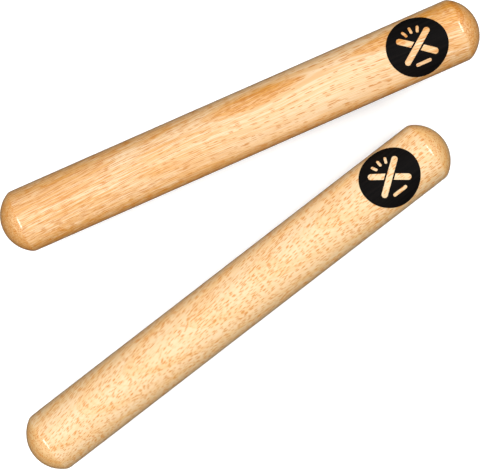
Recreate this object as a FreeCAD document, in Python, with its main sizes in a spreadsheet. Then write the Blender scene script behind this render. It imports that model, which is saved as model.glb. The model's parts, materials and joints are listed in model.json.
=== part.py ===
import FreeCAD, Part
import math
import os

from FreeCAD import Vector
from Sketcher import Constraint

# A pair of claves: two solid hardwood sticks, turned round with domed ends, that are struck together.
# Each stick carries one round printed badge near an end: a thin black film, flush with the wood, with a
# generic motif left open in it, so that wood shows through: two sticks, one laid across the other, three
# sound dashes over them and a plain bar under them.
#
# Frame, in millimetres: +Z is up from the surface that both sticks lie on, and +X is the mean direction
# of the two sticks, towards their badges. The origin is under the middle of the pair's bounding box.
# Each stick is drawn in its own frame, lying along X with its badge on top, and is then laid in place.

SIZES = [
    # alias, value in mm or degrees, meaning
    ("stick_length", 200.0, "tip to tip"),
    ("stick_radius", 12.5, "half of the stick's diameter"),
    ("dome_radius", 13.9, "ball radius of each domed end"),
    ("shoulder_round", 3.5, "rounding between a dome and the side"),
    ("badge_from_tip", 26.3, "badge centre to the nearest tip"),
    ("badge_half_length", 12.15, "half of the badge along the stick"),
    ("badge_half_width", 11.3, "half of the badge across the stick, seen from above"),
    ("badge_depth", 0.15, "thickness of the printed film"),
    ("cross_length", 16.6, "length of each crossed stick in the motif"),
    ("cross_width", 2.4, "width of each crossed stick in the motif"),
    ("cross_band", 3.7, "width of the dark band that parts the crossed stick below from the one above"),
    ("cross_turn", 37.0, "direction of each crossed stick, degrees from the stick's own axis"),
    ("dash_length", 2.8, "length of each sound dash"),
    ("dash_width", 1.1, "width of each sound dash"),
    ("dash_reach", 6.6, "crossing to the middle of each sound dash"),
    ("dash_fan", 24.0, "degrees between neighbouring sound dashes"),
    ("bar_length", 6.4, "length of the plain bar"),
    ("bar_width", 1.3, "width of the plain bar"),
    ("bar_drop", 6.6, "crossing to the plain bar"),
    ("half_shift_long", 17.15, "half of the sticks' offset along X"),
    ("half_shift_wide", 28.35, "half of the sticks' offset along Y"),
    ("half_spread", 6.96, "degrees between each stick and the mean direction"),
    ("resting_roll", 1.0, "degrees that the resting stick is rolled about its own axis"),
    ("striking_roll", -6.3, "degrees that the striking stick is rolled about its own axis"),
]

doc = FreeCAD.newDocument("claves")


def make_sheet():
    sheet = doc.addObject("Spreadsheet::Sheet", "Sizes")
    for row, (alias, value, meaning) in enumerate(SIZES, start=1):
        sheet.set(f"A{row}", meaning)
        sheet.set(f"B{row}", str(value))
        sheet.setAlias(f"B{row}", alias)
    doc.recompute()
    return sheet


sheet = make_sheet()


def require_good(*objects):
    """Stops the build if an object failed, or if its shape is missing or not valid."""
    doc.recompute()
    for obj in objects:
        if "Invalid" in obj.State or "Error" in obj.State:
            raise RuntimeError(f"{obj.Label} failed: {obj.State}")
        if obj.Shape.isNull() or not obj.Shape.isValid():
            raise RuntimeError(f"{obj.Label} has no valid shape")


def placed(along="0", across="0", up="0", turn="rotation(vector(0; 0; 1); 0)"):
    """The expression for a placement, whose values may be expressions too."""
    return f"placement(vector({along}; {across}; {up}); {turn})"


def turned(axis, degrees):
    return f"rotation(vector({axis}); {degrees})"


# ---------------------------------------------------------------- sketches
def new_sketch(body, name, role, place=None):
    """A sketch on one of the body's own origin planes, found by its role."""
    plane = next(feature for feature in body.Origin.OriginFeatures if feature.Role == role)
    sketch = body.newObject("Sketcher::SketchObject", name)
    sketch.AttachmentSupport = [(plane, "")]
    sketch.MapMode = "FlatFace"
    if place:
        sketch.setExpression("AttachmentOffset", place)
    return sketch


def dimension(sketch, name, expression, *constraint):
    """Adds a dimensional constraint to the sketch and binds it to the sheet."""
    index = sketch.addConstraint(Constraint(*constraint))
    sketch.renameConstraint(index, name)
    sketch.setExpression(f"Constraints.{name}", expression)


def draw_profile(sketch):
    """Half of the stick's outline: its axis, one dome, the side and the other dome."""
    tip = sheet.stick_length / 2
    radius = sheet.stick_radius
    ball = sheet.dome_radius
    steep = math.asin(radius / ball)
    centre = tip - ball
    shoulder = centre + ball * math.cos(steep)
    up = Vector(0, 0, 1)
    near_ball = Part.Circle(Vector(centre, 0, 0), up, ball)
    far_ball = Part.Circle(Vector(-centre, 0, 0), up, ball)
    axis = sketch.addGeometry(Part.LineSegment(Vector(-tip, 0, 0), Vector(tip, 0, 0)))
    near = sketch.addGeometry(Part.ArcOfCircle(near_ball, 0, steep))
    side = sketch.addGeometry(Part.LineSegment(Vector(shoulder, radius, 0), Vector(-shoulder, radius, 0)))
    far = sketch.addGeometry(Part.ArcOfCircle(far_ball, math.pi - steep, math.pi))
    sketch.addConstraint([
        Constraint("PointOnObject", axis, 1, -1),
        Constraint("Symmetric", axis, 1, axis, 2, -1, 1),
        Constraint("Coincident", axis, 2, near, 1),
        Constraint("Coincident", near, 2, side, 1),
        Constraint("Coincident", side, 2, far, 1),
        Constraint("Coincident", far, 2, axis, 1),
        Constraint("PointOnObject", near, 3, -1),
        Constraint("PointOnObject", far, 3, -1),
        Constraint("Equal", near, far),
    ])
    dimension(sketch, "Length", "Sizes.stick_length", "DistanceX", axis, 1, axis, 2, 2 * tip)
    dimension(sketch, "Ball", "Sizes.dome_radius", "Radius", near, ball)
    dimension(sketch, "Reach", "Sizes.stick_radius", "DistanceY", -1, 1, side, 1, radius)


def draw_oval(sketch, half_length, half_width):
    """An ellipse about the sketch's origin, long along its X."""
    long_end = Vector(sheet.getPropertyByName(half_length), 0, 0)
    wide_end = Vector(0, sheet.getPropertyByName(half_width), 0)
    oval = sketch.addGeometry(Part.Ellipse(long_end, wide_end, Vector(0, 0, 0)))
    sketch.exposeInternalGeometry(oval)
    long_axis = oval + 1
    wide_axis = oval + 2
    sketch.addConstraint([
        Constraint("Coincident", oval, 3, -1, 1),
        Constraint("Horizontal", long_axis),
    ])
    dimension(sketch, "Long", f"Sizes.{half_length} * 2", "Distance", long_axis, 2 * long_end.x)
    dimension(sketch, "Wide", f"Sizes.{half_width} * 2", "Distance", wide_axis, 2 * wide_end.y)


def draw_slot(sketch, length, width):
    """A straight slot with round ends about the sketch's origin, along its X."""
    half_width = sheet.getPropertyByName(width) / 2
    reach = sheet.getPropertyByName(length) / 2 - half_width
    up = Vector(0, 0, 1)
    near_end = Part.Circle(Vector(reach, 0, 0), up, half_width)
    far_end = Part.Circle(Vector(-reach, 0, 0), up, half_width)
    quarter = math.pi / 2
    near = sketch.addGeometry(Part.ArcOfCircle(near_end, -quarter, quarter))
    top = sketch.addGeometry(Part.LineSegment(Vector(reach, half_width, 0), Vector(-reach, half_width, 0)))
    far = sketch.addGeometry(Part.ArcOfCircle(far_end, quarter, 3 * quarter))
    low = sketch.addGeometry(Part.LineSegment(Vector(-reach, -half_width, 0), Vector(reach, -half_width, 0)))
    sketch.addConstraint([
        Constraint("Tangent", near, 2, top, 1),
        Constraint("Tangent", top, 2, far, 1),
        Constraint("Tangent", far, 2, low, 1),
        Constraint("Tangent", low, 2, near, 1),
        Constraint("PointOnObject", near, 3, -1),
        Constraint("Symmetric", near, 3, far, 3, -1, 1),
    ])
    dimension(sketch, "Round", f"Sizes.{width} / 2", "Radius", near, half_width)
    dimension(
        sketch, "Reach", f"Sizes.{length} - Sizes.{width}", "DistanceX", far, 3, near, 3, 2 * reach
    )


# ---------------------------------------------------------------- one stick
def turn_dowel(name):
    """The whole turned stick, before its badge is let in."""
    body = doc.addObject("PartDesign::Body", f"{name}_dowel")
    profile = new_sketch(body, f"{name}_profile", "XY_Plane")
    draw_profile(profile)
    turning = body.newObject("PartDesign::Revolution", f"{name}_turning")
    turning.Profile = (profile, [""])
    turning.ReferenceAxis = (profile, ["H_Axis"])
    require_good(profile, turning)
    shoulders = [
        f"Edge{number}"
        for number, edge in enumerate(turning.Shape.Edges, start=1)
        if edge.BoundBox.XLength < 0.001 and edge.BoundBox.ZLength > sheet.stick_radius
    ]
    rounding = body.newObject("PartDesign::Fillet", f"{name}_shoulders")
    rounding.Base = (turning, shoulders)
    rounding.setExpression("Radius", "Sizes.shoulder_round")
    require_good(rounding, body)
    return body


# Each shape of the motif, in order: how it is made, length cell, width cell, place in the motif, whose up
# is +Y. The band fills the crossing again before the upper stick is opened in the middle of it.
RISING = placed(turn=turned("0; 0; 1", "Sizes.cross_turn"))
FALLING = placed(turn=turned("0; 0; 1", "-Sizes.cross_turn"))
MOTIF = [
    ("Pocket", "cross_length", "cross_width", FALLING),
    ("Pad", "cross_length", "cross_band", RISING),
    ("Pocket", "cross_length", "cross_width", RISING),
    ("Pocket", "bar_length", "bar_width", placed(across="-Sizes.bar_drop")),
]
for step in (-1, 0, 1):
    fan = f"{step} * Sizes.dash_fan"
    MOTIF.append((
        "Pocket",
        "dash_length",
        "dash_width",
        placed(
            along=f"Sizes.dash_reach * sin({fan} * 1deg)",
            across=f"Sizes.dash_reach * cos({fan} * 1deg)",
            turn=turned("0; 0; 1", f"90 - {fan}"),
        ),
    ))


def make_stencil(name):
    """A block with the badge's outline and its open motif, standing up through the stick's top."""
    body = doc.addObject("PartDesign::Body", f"{name}_stencil")
    outline = new_sketch(body, f"{name}_outline", "XY_Plane")
    draw_oval(outline, "badge_half_length", "badge_half_width")
    block = body.newObject("PartDesign::Pad", f"{name}_block")
    block.Profile = (outline, [""])
    block.setExpression("Length", "Sizes.stick_radius + 1")
    require_good(outline, block)
    for number, (kind, length, width, place) in enumerate(MOTIF, start=1):
        before = body.Shape.Volume
        sketch = new_sketch(body, f"{name}_shape_{number}", "XY_Plane", place)
        draw_slot(sketch, length, width)
        shape = body.newObject(f"PartDesign::{kind}", f"{name}_{kind.lower()}_{number}")
        shape.Profile = (sketch, [""])
        if kind == "Pocket":
            shape.Type = "ThroughAll"
            shape.Reversed = True
        else:
            shape.setExpression("Length", "Sizes.stick_radius + 1")
        require_good(sketch, shape, body)
        changed = before - body.Shape.Volume if kind == "Pocket" else body.Shape.Volume - before
        if changed < 1 or len(body.Shape.Solids) != 1:
            raise RuntimeError(f"{shape.Label} did not change the block as it should")
    body.setExpression("Placement", placed(along="Sizes.stick_length / 2 - Sizes.badge_from_tip"))
    return body


def make_tube(name):
    """A tube as thick as the film, whose outside is the stick's outside, along the badge's stretch."""
    tube = doc.addObject("Part::Cut", f"{name}_tube")
    start = "Sizes.stick_length / 2 - Sizes.badge_from_tip - Sizes.badge_half_length * 1.1"
    for role, radius in (("Base", "Sizes.stick_radius"), ("Tool", "Sizes.stick_radius - Sizes.badge_depth")):
        cylinder = doc.addObject("Part::Cylinder", f"{name}_tube_{role.lower()}")
        cylinder.setExpression("Radius", radius)
        cylinder.setExpression("Height", "Sizes.badge_half_length * 2.2")
        cylinder.setExpression("Placement", placed(along=start, turn=turned("0; 1; 0", "90")))
        setattr(tube, role, cylinder)
    return tube


def make_clave(name, side, roll):
    """One stick and its badge, laid in place: side is 1 or -1 for the stick's side of the pair."""
    dowel = turn_dowel(name)
    stencil = make_stencil(name)
    tube = make_tube(name)

    recess = doc.addObject("Part::Common", f"{name}_recess")
    wood = doc.addObject("Part::Cut", name)
    badge = doc.addObject("Part::Common", f"{name}_badge")
    for film in (recess, badge):
        film.Base = tube
        film.Tool = stencil
    wood.Base = dowel
    wood.Tool = recess
    require_good(tube, recess, wood, badge)
    if wood.Shape.Volume > dowel.Shape.Volume - 0.99 * recess.Shape.Volume:
        raise RuntimeError(f"{name} has no full recess for its badge")

    yaw = turned("0; 0; 1", f"{-side} * Sizes.half_spread")
    lay = placed(
        along=f"{side} * Sizes.half_shift_long",
        across=f"{side} * Sizes.half_shift_wide",
        up="Sizes.stick_radius",
        turn=f"{yaw} * {turned('1; 0; 0', roll)}",
    )
    for part, label in ((wood, name), (badge, f"{name}_badge")):
        part.Label = label
        part.setExpression("Placement", lay)
    require_good(wood, badge)
    return [wood, badge]


sub_parts = make_clave("resting_clave", 1, "Sizes.resting_roll")
sub_parts += make_clave("striking_clave", -1, "Sizes.striking_roll")
require_good(*(obj for obj in doc.Objects if hasattr(obj, "Shape") and obj.isDerivedFrom("Part::Feature")))

os.makedirs("parts", exist_ok=True)
for part in sub_parts:
    part.Shape.exportStep(f"parts/{part.Label}.step")
    box = part.Shape.optimalBoundingBox(True, False)
    size = f"{box.XLength:.2f} x {box.YLength:.2f} x {box.ZLength:.2f} mm"
    print(f"{part.Label}: {part.Shape.Volume:.2f} mm3, {size}")
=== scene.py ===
import json
import math

import bmesh
import bpy
from mathutils import Matrix, Vector
from mathutils.geometry import delaunay_2d_cdt


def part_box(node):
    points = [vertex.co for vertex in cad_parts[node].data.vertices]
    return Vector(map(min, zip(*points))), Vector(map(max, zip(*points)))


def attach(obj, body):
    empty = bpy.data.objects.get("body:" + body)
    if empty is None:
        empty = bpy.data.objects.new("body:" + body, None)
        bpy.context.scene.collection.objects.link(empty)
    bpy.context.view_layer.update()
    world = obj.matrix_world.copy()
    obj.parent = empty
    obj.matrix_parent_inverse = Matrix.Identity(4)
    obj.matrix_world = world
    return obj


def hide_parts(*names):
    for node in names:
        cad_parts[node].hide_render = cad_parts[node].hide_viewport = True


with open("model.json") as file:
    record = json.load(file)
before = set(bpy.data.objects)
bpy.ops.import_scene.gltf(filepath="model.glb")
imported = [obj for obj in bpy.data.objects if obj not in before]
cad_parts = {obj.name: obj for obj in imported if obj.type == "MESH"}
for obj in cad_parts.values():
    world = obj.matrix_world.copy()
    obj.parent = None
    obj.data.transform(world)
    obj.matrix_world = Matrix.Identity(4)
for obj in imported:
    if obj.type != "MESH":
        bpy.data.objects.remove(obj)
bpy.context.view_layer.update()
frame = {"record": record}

# A pair of turned hardwood claves. Each stick is a fine lathe mesh that stands for its CAD node, in a
# procedural solid wood, and each printed badge is a thin film with its motif cut through it.
# Lengths are in metres unless a name ends in _mm. A stick's own frame lies along X, with its badge at
# the +X end and on top (+Z). The wood's nodes work in millimetres in that frame.

MM = 0.001

# ---------------------------------------------------------------- driving sizes
DOME_RADIUS = 13.9 * MM
SHOULDER_ROUND = 3.5 * MM
ROLLS = {"resting_clave": 1.0, "striking_clave": -6.3}    # degrees about each stick's own axis

AROUND = 240                # lathe segments round a stick
SIDE_RINGS = 140            # rings along the straight side
DOME_RINGS = 30
SHOULDER_RINGS = 8
TURNING_WAVE = 0.018 * MM   # how far the turned and sanded side strays from a true cylinder
TURNING_WAVES = ((19 * MM, 0, 0.5), (7.3 * MM, 2, 0.3), (31 * MM, 3, 0.2))   # length, lobes, share
WAVE_FADE = 4               # power of the radius with which the waves die out over the domes

BADGE_FROM_TIP = 26.3 * MM
BADGE_HALF = (12.15 * MM, 11.3 * MM)
FILM_PROUD = 0.04 * MM      # the print's height over the wood
FILM_SUNK = 0.06 * MM       # how far the print's closed underside lies inside the wood
FILM_GRID = 0.5 * MM
GRID_SHARE = 0.955          # share of the badge's area with a grid, which stays clear of the outline
MERGE_DISTANCE = 1e-7       # points of the flat print that are closer than this become one
INSIDE_ONLY = 1             # tells the triangulation to keep to the inside of the outlines
OUTLINE_STEPS = 200
SLOT_END_STEPS = 12
SHARP_ANGLE = 40.0          # degrees: the print's edges are sharper than this, its curved face is not

# The open motif, in the badge's own frame: X along the stick, Y across it.
CROSS = {"length": 16.6 * MM, "width": 2.4 * MM, "band": 3.7 * MM, "turn": 37.0}
DASH = {"length": 2.8 * MM, "width": 1.1 * MM, "reach": 6.6 * MM, "fan": 24.0}
BAR = {"length": 6.4 * MM, "width": 1.3 * MM, "drop": 6.6 * MM}


def srgb(red, green, blue):
    """A colour as a painter reads it, 0 to 255, turned to the linear values that nodes take."""
    def linear(value):
        part = value / 255
        return part / 12.92 if part <= 0.04045 else ((part + 0.055) / 1.055) ** 2.4
    return (linear(red), linear(green), linear(blue), 1.0)


# ---------------------------------------------------------------- the two sticks, from the frame
def read_sticks():
    """For each stick: its radius, half length and the matrix from its own frame to the row frame."""
    sticks = {}
    for mount in frame["record"]["mounts"]:
        name = mount["name"].replace("_grip", "")
        along = -Vector(mount["axis"]).normalized()
        up = Vector((0, 0, 1))
        turn = Matrix((along, up.cross(along), up)).transposed()
        roll = Matrix.Rotation(math.radians(ROLLS[name]), 3, "X")
        low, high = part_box(name)
        ball_centre = ((high.x - low.x) / 2 - DOME_RADIUS) / abs(along.x)
        sticks[name] = {
            "radius": mount["dims"]["r_mm"] * MM,
            "half_length": ball_centre + DOME_RADIUS,
            "matrix": Matrix.Translation(mount["pos_m"]) @ (turn @ roll).to_4x4(),
        }
    return sticks


# ---------------------------------------------------------------- meshes
def half_profile(radius, half_length):
    """From the badge end's tip to the middle of the side: points as (distance along, radius)."""
    ball = half_length - DOME_RADIUS
    round_radius = radius - SHOULDER_ROUND
    rise = math.asin(round_radius / (DOME_RADIUS - SHOULDER_ROUND))
    round_centre = ball + (DOME_RADIUS - SHOULDER_ROUND) * math.cos(rise)
    points = []
    for step in range(1, DOME_RINGS + 1):
        angle = rise * step / DOME_RINGS
        points.append((ball + DOME_RADIUS * math.cos(angle), DOME_RADIUS * math.sin(angle)))
    for step in range(1, SHOULDER_RINGS + 1):
        angle = rise + (math.pi / 2 - rise) * step / SHOULDER_RINGS
        points.append((round_centre + SHOULDER_ROUND * math.cos(angle),
                       round_radius + SHOULDER_ROUND * math.sin(angle)))
    for step in range(1, SIDE_RINGS // 2 + 1):
        points.append((round_centre * (1 - 2 * step / SIDE_RINGS), radius))
    return points


def turning_wave(along, angle, seed):
    """How far the turned side strays in or out, from a few slow waves."""
    wave = 0.0
    for number, (length, lobes, share) in enumerate(TURNING_WAVES, 1):
        wave += share * math.sin(along / length + lobes * angle + number * seed)
    return TURNING_WAVE * wave


def stick_mesh(name, radius, half_length, seed):
    """A closed lathe mesh with a point at each tip."""
    near = half_profile(radius, half_length)
    profile = near + [(-along, reach) for along, reach in reversed(near[:-1])]
    points = [(half_length, 0, 0)]
    for along, reach in profile:
        for segment in range(AROUND):
            angle = 2 * math.pi * segment / AROUND
            out = reach + turning_wave(along, angle, seed) * (reach / radius) ** WAVE_FADE
            points.append((along, out * math.sin(angle), out * math.cos(angle)))
    points.append((-half_length, 0, 0))
    faces = []
    last = len(points) - 1
    for segment in range(AROUND):
        after = (segment + 1) % AROUND
        faces.append((0, 1 + after, 1 + segment))
        for ring in range(len(profile) - 1):
            here = 1 + ring * AROUND
            there = here + AROUND
            faces.append((here + segment, here + after, there + after, there + segment))
        tail = 1 + (len(profile) - 1) * AROUND
        faces.append((last, tail + segment, tail + after))
    mesh = bpy.data.meshes.new(name)
    mesh.from_pydata(points, [], faces)
    mesh.shade_smooth()
    return mesh


class Slot:
    """A straight slot with round ends, in the badge's own frame."""

    def __init__(self, centre, lean, length, width):
        self.centre = Vector(centre)
        self.direction = Vector((math.cos(lean), math.sin(lean)))
        self.lean = lean
        self.reach = (length - width) / 2
        self.radius = width / 2

    def outline(self):
        points = []
        side_steps = math.ceil(2 * self.reach / FILM_GRID)
        for sign, lean in ((1, self.lean), (-1, self.lean + math.pi)):
            ball = self.centre + sign * self.reach * self.direction
            for step in range(SLOT_END_STEPS + 1):
                angle = lean - math.pi / 2 + math.pi * step / SLOT_END_STEPS
                points.append(ball + self.radius * Vector((math.cos(angle), math.sin(angle))))
            for step in range(1, side_steps):
                points.append(points[-1] - sign * 2 * self.reach / side_steps * self.direction)
        return points

    def holds(self, point):
        offset = point - self.centre
        nearest = max(-self.reach, min(self.reach, offset.dot(self.direction)))
        return (offset - nearest * self.direction).length < self.radius


def motif_slots():
    """The motif's openings, and among them the dark band that parts the lower crossed stick."""
    turn = math.radians(CROSS["turn"])
    slots = {
        "under": Slot((0, 0), -turn, CROSS["length"], CROSS["width"]),
        "band": Slot((0, 0), turn, CROSS["length"], CROSS["band"]),
        "over": Slot((0, 0), turn, CROSS["length"], CROSS["width"]),
        "bar": Slot((0, -BAR["drop"]), 0.0, BAR["length"], BAR["width"]),
    }
    for step in (-1, 0, 1):
        lean = math.radians(90 - step * DASH["fan"])
        centre = (DASH["reach"] * math.cos(lean), DASH["reach"] * math.sin(lean))
        slots[f"dash_{step}"] = Slot(centre, lean, DASH["length"], DASH["width"])
    return slots


def in_badge(point, share=1.0):
    """Whether a point lies inside the badge's outline, or inside this share of its area."""
    half_long, half_wide = BADGE_HALF
    return (point.x / half_long) ** 2 + (point.y / half_wide) ** 2 < share


def badge_outline():
    half_long, half_wide = BADGE_HALF
    angles = [2 * math.pi * number / OUTLINE_STEPS for number in range(OUTLINE_STEPS)]
    return [Vector((half_long * math.cos(angle), half_wide * math.sin(angle))) for angle in angles]


def badge_grid(radius):
    """Points inside the badge's outline, evenly spaced once they are wrapped on the stick."""
    half_long, half_wide = BADGE_HALF
    columns = int(half_long / FILM_GRID)
    rows = int(radius * math.asin(half_wide / radius) / FILM_GRID)
    points = []
    for row in range(-rows, rows + 1):
        across = radius * math.sin(row * FILM_GRID / radius)
        shift = FILM_GRID / 2 if row % 2 else 0
        for column in range(-columns - 1, columns + 1):
            point = Vector((column * FILM_GRID + shift, across))
            if in_badge(point, GRID_SHARE):
                points.append(point)
    return points


def flat_print(radius):
    """The print laid flat: its points, and the triangles of them that carry ink."""
    slots = motif_slots()
    points = []
    edges = []
    for loop in [badge_outline()] + [slot.outline() for slot in slots.values()]:
        first = len(points)
        points += loop
        edges += [(first + number, first + (number + 1) % len(loop)) for number in range(len(loop))]
    points += badge_grid(radius)
    flat, _, triangles, _, _, _ = delaunay_2d_cdt(points, edges, [], INSIDE_ONLY, MERGE_DISTANCE)

    def inked(triangle):
        middle = sum((flat[corner] for corner in triangle), Vector((0, 0))) / 3
        open_in = [name for name, slot in slots.items() if slot.holds(middle)]
        return in_badge(middle) and (not open_in or ("band" in open_in and "over" not in open_in))

    return flat, [tuple(triangle) for triangle in triangles if inked(triangle)]


def border(triangles):
    """The edges that only one of the triangles has, in its own direction."""
    open_edges = set()
    for triangle in triangles:
        for start, end in zip(triangle, triangle[1:] + triangle[:1]):
            if (end, start) in open_edges:
                open_edges.remove((end, start))
            else:
                open_edges.add((start, end))
    return sorted(open_edges)


def film_mesh(name, radius, half_length):
    """The print: a thin closed film wrapped on the stick, with the motif's openings cut through it."""
    flat, top = flat_print(radius)
    centre = half_length - BADGE_FROM_TIP
    count = len(flat)
    wrapped = []
    for level in (radius + FILM_PROUD, radius - FILM_SUNK):
        for point in flat:
            angle = math.asin(point.y / radius)
            wrapped.append((centre + point.x, level * math.sin(angle), level * math.cos(angle)))
    faces = list(top)
    faces += [tuple(count + corner for corner in reversed(triangle)) for triangle in top]
    faces += [(end, start, count + start, count + end) for start, end in border(top)]
    mesh = bpy.data.meshes.new(name)
    mesh.from_pydata(wrapped, [], faces)
    drop_loose_points(mesh)
    mesh.shade_smooth()
    mesh.set_sharp_from_angle(angle=math.radians(SHARP_ANGLE))
    return mesh


def drop_loose_points(mesh):
    """Takes out the points that no face uses."""
    work = bmesh.new()
    work.from_mesh(mesh)
    unused = [point for point in work.verts if not point.link_faces]
    bmesh.ops.delete(work, geom=unused, context="VERTS")
    work.to_mesh(mesh)
    work.free()


# ---------------------------------------------------------------- shader nodes
class Wires:
    """Adds shader nodes to a material or world. Each call returns the new node's output socket."""

    def __init__(self, owner, shader="Principled BSDF"):
        owner.use_nodes = True
        self.tree = owner.node_tree
        self.shader = self.tree.nodes[shader].inputs

    def put(self, kind, output, inputs, **settings):
        node = self.tree.nodes.new(kind)
        for key, value in settings.items():
            setattr(node, key, value)
        for key, value in inputs.items():
            self.feed(node.inputs[key], value)
        return node.outputs[output]

    def feed(self, socket, value):
        if isinstance(value, bpy.types.NodeSocket):
            self.tree.links.new(value, socket)
        else:
            socket.default_value = value

    def math(self, operation, *values):
        return self.put("ShaderNodeMath", 0, dict(enumerate(values)), operation=operation)

    def join(self, x, y, z):
        return self.put("ShaderNodeCombineXYZ", 0, {"X": x, "Y": y, "Z": z})

    def split(self, vector):
        return self.put("ShaderNodeSeparateXYZ", 0, {0: vector}).node.outputs

    def poly(self, x, *factors):
        """factors[0] + factors[1] x + factors[2] x^2 and so on."""
        value = factors[-1]
        for factor in reversed(factors[:-1]):
            value = self.math("MULTIPLY_ADD", x, value, factor)
        return value

    def hump(self, x, height, half_length, crest):
        """A bell curve of this height, whose middle is at crest."""
        away = self.poly(x, -crest / half_length, 1 / half_length)
        bell = self.math("EXPONENT", self.math("MULTIPLY", away, self.math("MULTIPLY", away, -1.0)))
        return self.math("MULTIPLY", bell, height)

    def noise(self, at, detail=2.0, output="Fac"):
        return self.put("ShaderNodeTexNoise", output, {"Vector": at, "Scale": 1.0, "Detail": detail})

    def step(self, value, low, high, to_low=0.0, to_high=1.0):
        """A soft step from to_low, where value is low, to to_high, where it is high."""
        inputs = {"Value": value, "From Min": low, "From Max": high, "To Min": to_low, "To Max": to_high}
        return self.put("ShaderNodeMapRange", 0, inputs, interpolation_type="SMOOTHSTEP")

    def mix(self, share, first, second, blend="MIX"):
        inputs = {0: share, 6: first, 7: second}
        return self.put("ShaderNodeMix", 2, inputs, data_type="RGBA", blend_type=blend)


# ---------------------------------------------------------------- wood
# Each stick's board, in millimetres and in the stick's own frame. The slope, dive and drift are the
# factors of 1, x, x^2 and so on. A layer's share says how far it hides the colour below it.
# - seed: sets the board's random figure
# - slope, dive: how far the fibres have gone across (+Y) and down (-Z) at x
# - fan: how tightly the fibres lie at FAN_ENDS; between them they spread apart or draw together
# - wave: how far the fibres stray to either side in slow waves
# - pith: which way the growth rings' outer sides face, in degrees from the top towards +Y, and how far
#   their centre is from the stick's axis
# - ring_mm: a growth ring's width
# - drift: how far the growth rings have come out of the stick at x
# - bulge: a place where they come further out, as (height, half length, x of its crest)
# - clear: a length whose pale wood has fewer streaks and lines, as (share taken away, half length, x of
#   its middle)
# - light, warm, brown, pore: the colours of pale wood, of porous wood, of streaks and of pores
# - ring_share: the share of the warm colour in the rings' porous side
# - ring_lines: soft lines that follow the rings, as (length, width, level of the noise where they start,
#   level where they are full, share)
# - streaks: soft streaks along the fibres, as (length, width, the two levels, share, colour)
# - lines: long thin broken lines, as (length, spacing, half width as a step in level, share)
# - pores: short sharp dashes, as (length, spacing, half width in spacings)
# - pore_thinning: the share of the pores that the rings' pale side lacks
BOARDS = {
    "resting_clave": {
        "seed": 3.0,
        "slope": (0.0, 0.01, -0.0006),
        "fan": (1.3, 0.75),
        "dive": (0.0, 0.02, 0.0),
        "wave": 1.0,
        "pith": (34.0, 40.0),
        "ring_mm": 18.0,
        "drift": (-0.5, 0.0, 1.7e-4, 1.2e-6),
        "bulge": (1.1, 22.9, 7.7),
        "clear": (0.65, 45.0, 32.0),
        "light": srgb(228, 197, 156),
        "warm": srgb(218, 158, 82),
        "brown": srgb(212, 143, 34),
        "pore": srgb(194, 118, 1),
        "ring_share": 0.6,
        "ring_lines": (50.0, 0.2, 0.47, 0.58, 0.45),
        "streaks": (
            (40.0, 2.6, 0.42, 0.62, 0.3, "warm"),
            (22.0, 0.50, 0.48, 0.54, 0.75, "brown"),
        ),
        "lines": ((26.0, 0.8, 0.05, 1.0), (14.0, 0.6, 0.07, 1.0)),
        "pores": ((6.0, 0.54, 0.43), (3.5, 0.50, 0.42)),
        "pore_thinning": 0.5,
    },
    "striking_clave": {
        "seed": 11.0,
        "slope": (0.0, 0.115, -0.00065),
        "fan": (1.1, 0.9),
        "dive": (0.0, 0.14, -0.0002),
        "wave": 0.6,
        "pith": (9.0, 45.0),
        "ring_mm": 4.2,
        "drift": (3.1, 0.14, -0.0002),
        "bulge": (0.4, 14.0, -52.0),
        "clear": (0.3, 30.0, 70.0),
        "light": srgb(226, 195, 151),
        "warm": srgb(224, 168, 88),
        "brown": srgb(213, 148, 40),
        "pore": srgb(202, 124, 1),
        "ring_share": 0.22,
        "ring_lines": (60.0, 0.30, 0.50, 0.62, 0.18),
        "streaks": (
            (40.0, 3.0, 0.42, 0.66, 0.2, "warm"),
            (12.0, 0.70, 0.50, 0.64, 0.2, "brown"),
        ),
        "lines": ((20.0, 1.0, 0.05, 0.3),),
        "pores": ((3.6, 0.60, 0.44), (2.8, 0.56, 0.42)),
        "pore_thinning": 0.25,
    },
}
FAN_ENDS = (-40.0, 50.0)
SLOW_WAVE = (55.0, 22.0)            # length and width of the fibres' slow waves
RING_RIPPLE = (30.0, 4.0, 0.15)     # length, width and height of the rings' ripples

# How far the noises are shifted, so that no two layers read the same one.
SHIFTS = {"streaks": 0.0, "ripple": 5.0, "pores": 20.0, "lines": 30.0, "breaks": 40.0}

# Across a growth ring, in ring widths from its inner side: where a band is empty and where it is full.
POROUS_START = (0.0, 0.02)
POROUS_FADE = (0.6, 0.0)
RIM_START = (0.0, 0.006)            # the rim is a thin brown line at the ring's inner side
RIM_FADE = (0.03, 0.012)
RIM_SHARE = 0.2
PALE_SIDE_MARKS = 0.75              # how strong streaks and lines are on the pale side, where 1 is full

LINE_CORE = 0.3                     # the part of a line's half width that is full
BREAK_LENGTH = 0.6                  # a line's breaks, as a share of its length
BREAK_LEVELS = (0.44, 0.58)         # levels of the noise between which a line comes back
PORE_CORE = 0.6                     # the part of a pore's half width that is full
PORE_SCATTER = 0.9                  # how far the pores stray from even rows, where 1 is anywhere
PORE_CHANCE = (0.1, 0.3)            # a pore whose random number is below these is missing, above them full
FAINTEST_PORE = 0.7
PORE_DEPTH = 0.02 * MM
PORE_ROUGHNESS = 0.47
WOOD_ROUGHNESS = 0.32
END_GRAIN = srgb(255, 243, 219)     # what end grain's colour is multiplied by
END_GRAIN_FACING = (0.15, 0.4)      # the normal's part along the stick where end grain starts, is full


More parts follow.
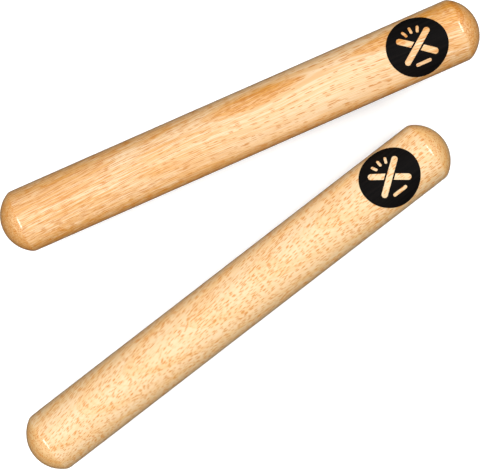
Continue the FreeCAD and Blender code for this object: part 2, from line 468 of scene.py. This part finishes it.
class Grain(Wires):
    """A board's fibres and growth rings, as values in a stick's material, and what is drawn along them."""

    def __init__(self, material, board, radius):
        super().__init__(material)
        self.board = board
        place = self.put("ShaderNodeTexCoord", "Object", {})
        place_mm = self.put("ShaderNodeVectorMath", 0, {0: place, 3: 1 / MM}, operation="SCALE")
        self.x, y, z = self.split(place_mm)
        self.across, self.depth = self.fibres(y, z)
        self.out = self.way_out(y, z)
        surface = board["pith"][1] + radius / MM
        ring_mm = board["ring_mm"]
        self.in_ring = self.math("FRACT", self.poly(self.out, -surface / ring_mm, 1 / ring_mm))
        self.porous = self.band(POROUS_START, POROUS_FADE)

    def fibres(self, y, z):
        """How far across and how deep the fibre lies: slow waves, a slope across and a dive."""
        x, board = self.x, self.board
        length, width = SLOW_WAVE
        at = self.join(self.poly(x, board["seed"], 1 / length), self.poly(y, 0.0, 1 / width),
                       self.poly(z, 0.0, 1 / width))
        slow = self.split(self.noise(at, detail=1.5, output="Color"))
        sideways, deeper = [self.poly(part, -board["wave"], 2 * board["wave"]) for part in slow[:2]]
        across = self.math("MULTIPLY_ADD", y, self.step(x, *FAN_ENDS, *board["fan"]), sideways)
        across = self.math("SUBTRACT", across, self.poly(x, *board["slope"]))
        depth = self.math("ADD", self.math("ADD", z, deeper), self.poly(x, *board["dive"]))
        return across, depth

    def along_fibres(self, length, width, shift):
        """Where a noise is read whose spots are this long along the fibres and this wide across them."""
        return self.join(self.poly(self.x, self.board["seed"] + shift, 1 / length),
                         self.poly(self.across, shift, 1 / width),
                         self.poly(self.depth, 0.0, 1 / width))

    def way_out(self, y, z):
        """The distance from the pith, on which the growth rings lie."""
        board = self.board
        lean = math.radians(board["pith"][0])
        pith = board["pith"][1]
        from_pith = self.join(0.0, self.poly(y, pith * math.sin(lean), 1.0),
                              self.poly(z, pith * math.cos(lean), 1.0))
        out = self.put("ShaderNodeVectorMath", "Value", {0: from_pith}, operation="LENGTH")
        leaning = self.math("ADD", self.hump(self.x, *board["bulge"]), self.poly(self.x, *board["drift"]))
        out = self.math("ADD", out, leaning)
        length, width, height = RING_RIPPLE
        ripple = self.noise(self.along_fibres(length, width, SHIFTS["ripple"]), detail=3.0)
        return self.math("ADD", out, self.poly(ripple, -height, 2 * height))

    def band(self, start, fade, share=1.0):
        """A band across each ring, between its start and where it has faded out."""
        started = self.step(self.in_ring, *start)
        return self.math("MULTIPLY", started, self.step(self.in_ring, *fade, 0.0, share))

    def rings(self):
        """The rings' colours, and soft lines that follow the rings."""
        x, board = self.x, self.board
        warmth = self.math("MULTIPLY", self.porous, board["ring_share"])
        colour = self.mix(warmth, board["light"], board["warm"])
        colour = self.mix(self.band(RIM_START, RIM_FADE, RIM_SHARE), colour, board["brown"])
        length, width, low, high, share = board["ring_lines"]
        at = self.join(self.poly(x, board["seed"], 1 / length), self.poly(self.out, 0.0, 1 / width), 0.0)
        return self.mix(self.step(self.noise(at), low, high, 0.0, share), colour, board["brown"])

    def marks(self):
        """How strong streaks and lines are: weaker on the rings' pale side, weakest where that is clear."""
        pale = self.poly(self.porous, 1.0, -1.0)
        clear = self.math("MULTIPLY", self.hump(self.x, *self.board["clear"]), pale)
        return self.math("SUBTRACT", self.poly(self.porous, PALE_SIDE_MARKS, 1 - PALE_SIDE_MARKS), clear)

    def streaks(self, colour, marks):
        for number, (length, width, low, high, share, tone) in enumerate(self.board["streaks"]):
            level = self.noise(self.along_fibres(length, width, SHIFTS["streaks"] + number))
            streak = self.math("MULTIPLY", self.math("MULTIPLY", self.step(level, low, high), marks), share)
            colour = self.mix(streak, colour, self.board[tone])
        return colour

    def lines(self, colour, marks):
        """Thin lines where a noise is near its middle level, 0.5, with breaks where another one is low."""
        for number, (length, spacing, thin, share) in enumerate(self.board["lines"]):
            level = self.noise(self.along_fibres(length, spacing, SHIFTS["lines"] + number), detail=1.0)
            line = self.step(self.math("ABSOLUTE", self.poly(level, -0.5, 1.0)), thin, thin * LINE_CORE)
            at = self.along_fibres(length * BREAK_LENGTH, spacing, SHIFTS["breaks"] + number)
            line = self.math("MULTIPLY", line, self.step(self.noise(at), *BREAK_LEVELS))
            line = self.math("MULTIPLY", line, self.math("MULTIPLY", marks, share))
            colour = self.mix(line, colour, self.board["pore"])
        return colour

    def pores(self):
        """Dashes along the fibres, and dots where the fibres come out of the surface."""
        thinning = self.board["pore_thinning"]
        dashes = 0.0
        for number, (length, spacing, size) in enumerate(self.board["pores"]):
            at = self.along_fibres(length, spacing, SHIFTS["pores"] + number)
            inputs = {"Vector": at, "Scale": 1.0, "Randomness": PORE_SCATTER}
            cell = self.put("ShaderNodeTexVoronoi", "Distance", inputs).node.outputs
            chance = self.split(cell["Color"])
            kept = self.math("ADD", chance[0], self.poly(self.porous, -thinning, thinning))
            dash = self.step(cell["Distance"], size, size * PORE_CORE)
            dash = self.math("MULTIPLY", dash, self.step(kept, *PORE_CHANCE))
            dash = self.math("MULTIPLY", dash, self.poly(chance[1], FAINTEST_PORE, 1 - FAINTEST_PORE))
            dashes = self.math("MAXIMUM", dash, dashes)
        return dashes

    def end_grain(self, colour):
        """End grain drinks the finish and turns darker."""
        facing = self.split(self.put("ShaderNodeTexCoord", "Normal", {}))
        share = self.step(self.math("ABSOLUTE", facing[0]), *END_GRAIN_FACING)
        return self.mix(share, colour, END_GRAIN, blend="MULTIPLY")


def wood(name, board, radius):
    """Pale hardwood under a clear gloss lacquer that the pores pull in a little."""
    material = bpy.data.materials.new(f"{name}_lacquered_wood")
    grain = Grain(material, board, radius)
    marks = grain.marks()
    colour = grain.lines(grain.streaks(grain.rings(), marks), marks)
    pores = grain.pores()
    colour = grain.end_grain(grain.mix(pores, colour, board["pore"]))
    height = grain.math("MULTIPLY", pores, -1.0)
    relief = grain.put("ShaderNodeBump", 0, {"Height": height, "Strength": 0.2, "Distance": PORE_DEPTH})
    grain.feed(grain.shader["Base Color"], colour)
    roughness = grain.poly(pores, WOOD_ROUGHNESS, PORE_ROUGHNESS - WOOD_ROUGHNESS)
    grain.feed(grain.shader["Roughness"], roughness)
    grain.feed(grain.shader["Normal"], relief)
    grain.shader["Specular IOR Level"].default_value = 0.8
    grain.shader["Coat Weight"].default_value = 1.0
    grain.shader["Coat Roughness"].default_value = 0.08
    grain.shader["Coat IOR"].default_value = 1.7
    return material


INK_SPOTS = (60.0, 1300.0, 1300.0)     # the mottle's spots per metre, along the stick and across it
INK_RELIEF = 0.02 * MM


def ink():
    """Screen-printed black ink: nearly matt, with a faint mottle from the wood under it."""
    material = bpy.data.materials.new("badge_black_ink")
    wires = Wires(material)
    place = wires.put("ShaderNodeTexCoord", "Object", {})
    at = wires.put("ShaderNodeVectorMath", 0, {0: place, 1: INK_SPOTS}, operation="MULTIPLY")
    mottle = wires.noise(at, detail=3.0)
    colour = wires.mix(wires.step(mottle, 0.35, 0.7), srgb(7, 6, 6), srgb(16, 13, 12))
    relief = wires.put("ShaderNodeBump", 0, {"Height": mottle, "Strength": 0.15, "Distance": INK_RELIEF})
    wires.feed(wires.shader["Base Color"], colour)
    wires.feed(wires.shader["Roughness"], wires.step(mottle, 0.3, 0.7, to_low=0.5, to_high=0.62))
    wires.feed(wires.shader["Normal"], relief)
    wires.shader["Specular IOR Level"].default_value = 0.06
    return material


# ---------------------------------------------------------------- the pieces
def add_piece(mesh, material, matrix, body, node):
    piece = bpy.data.objects.new(mesh.name, mesh)
    bpy.context.scene.collection.objects.link(piece)
    piece.matrix_world = matrix
    mesh.materials.append(material)
    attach(piece, body)
    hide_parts(node)


def build_claves():
    badge_ink = ink()
    for name, stick in read_sticks().items():
        board = BOARDS[name]
        radius, half_length, matrix = stick["radius"], stick["half_length"], stick["matrix"]
        turned = stick_mesh(f"{name}_stick", radius, half_length, board["seed"])
        add_piece(turned, wood(name, board, radius), matrix, name, name)
        badge = f"{name}_badge"
        film = film_mesh(f"{badge}_print", radius, half_length)
        add_piece(film, badge_ink, matrix, name, badge)


# ---------------------------------------------------------------- studio
CAMERA_DISTANCE = 0.70      # above the sticks' axes
CAMERA_TURN = -30.71        # degrees: the pair's mean direction rises this much to the right
CAMERA_AIM = (-4.3 * MM, -7.92 * MM)
VIEW_WIDTH = 185.76 * MM    # what the picture's width spans at the sticks' axes
SENSOR_WIDTH = 36.0
FLOOR_HALF = 6.0
FLOOR_GLOW = 0.2            # the sweep is lit on its own as well, so that it reads as white
HORIZON = (-0.1, 0.2)       # heights on the unit sphere between which the room turns pale


def add_camera(axis_height):
    data = bpy.data.cameras.new("camera")
    data.sensor_width = SENSOR_WIDTH
    data.lens = SENSOR_WIDTH * CAMERA_DISTANCE / VIEW_WIDTH
    camera = bpy.data.objects.new("camera", data)
    bpy.context.scene.collection.objects.link(camera)
    camera.location = (*CAMERA_AIM, axis_height + CAMERA_DISTANCE)
    camera.rotation_euler = (0, 0, math.radians(CAMERA_TURN))
    bpy.context.scene.camera = camera


def add_softbox(name, place, aim, size, radiance, mirrored=True):
    """An area light that faces aim. Its power follows from the radiance that it should show.

    One that is not mirrored lights the lacquer without a reflection in it, as a feathered light does.
    """
    data = bpy.data.lights.new(name, "AREA")
    data.shape = "RECTANGLE"
    data.size, data.size_y = size
    data.energy = radiance * math.pi * size[0] * size[1]
    light = bpy.data.objects.new(name, data)
    bpy.context.scene.collection.objects.link(light)
    light.visible_glossy = mirrored
    light.location = place
    light.rotation_euler = (Vector(place) - Vector(aim)).to_track_quat("Z", "Y").to_euler()


def add_floor():
    """A white floor that throws no light back up at the claves, as a distant sweep in a studio."""
    corners = [(x * FLOOR_HALF, y * FLOOR_HALF, 0) for x, y in ((-1, -1), (1, -1), (1, 1), (-1, 1))]
    mesh = bpy.data.meshes.new("floor")
    mesh.from_pydata(corners, [], [(0, 1, 2, 3)])
    floor = bpy.data.objects.new("floor", mesh)
    bpy.context.scene.collection.objects.link(floor)
    floor.visible_diffuse = False
    floor.visible_glossy = False
    material = bpy.data.materials.new("floor_white")
    wires = Wires(material)
    wires.shader["Base Color"].default_value = srgb(248, 248, 248)
    wires.shader["Roughness"].default_value = 0.8
    wires.shader["Emission Color"].default_value = (1, 1, 1, 1)
    wires.shader["Emission Strength"].default_value = FLOOR_GLOW
    mesh.materials.append(material)


def add_world(above, below):
    """A pale room: this radiance above the horizon, and this below it."""
    world = bpy.data.worlds.new("studio")
    wires = Wires(world, "Background")
    up = wires.split(wires.put("ShaderNodeTexCoord", "Generated", {}))[2]
    wires.shader["Color"].default_value = (1, 1, 1, 1)
    wires.feed(wires.shader["Strength"], wires.step(up, *HORIZON, below, above))
    bpy.context.scene.world = world


def add_lights():
    add_softbox("softbox_over", place=(0, 0.12, 1.15), aim=(0, 0, 0), size=(1.2, 1.3), radiance=0.3)
    for side in (-1, 1):
        end = (0.08 * side, 0, 0)
        add_softbox(f"softbox_end_{side}", place=(0.52 * side, 0, 0.85), aim=end, size=(0.6, 0.3),
                    radiance=5.4)
        add_softbox(f"softbox_tip_{side}", place=(0.95 * side, 0, 0.35), aim=end, size=(0.7, 0.4),
                    radiance=3.0, mirrored=False)
        add_softbox(f"softbox_side_{side}", place=(0, 0.95 * side, 0.65), aim=(0, 0, 0), size=(1.2, 0.9),
                    radiance=2.0, mirrored=False)


build_claves()
add_floor()
add_world(above=0.42, below=0.03)
add_lights()
add_camera(frame["record"]["mounts"][0]["pos_m"][2])
bpy.context.scene.view_settings.view_transform = "Standard"
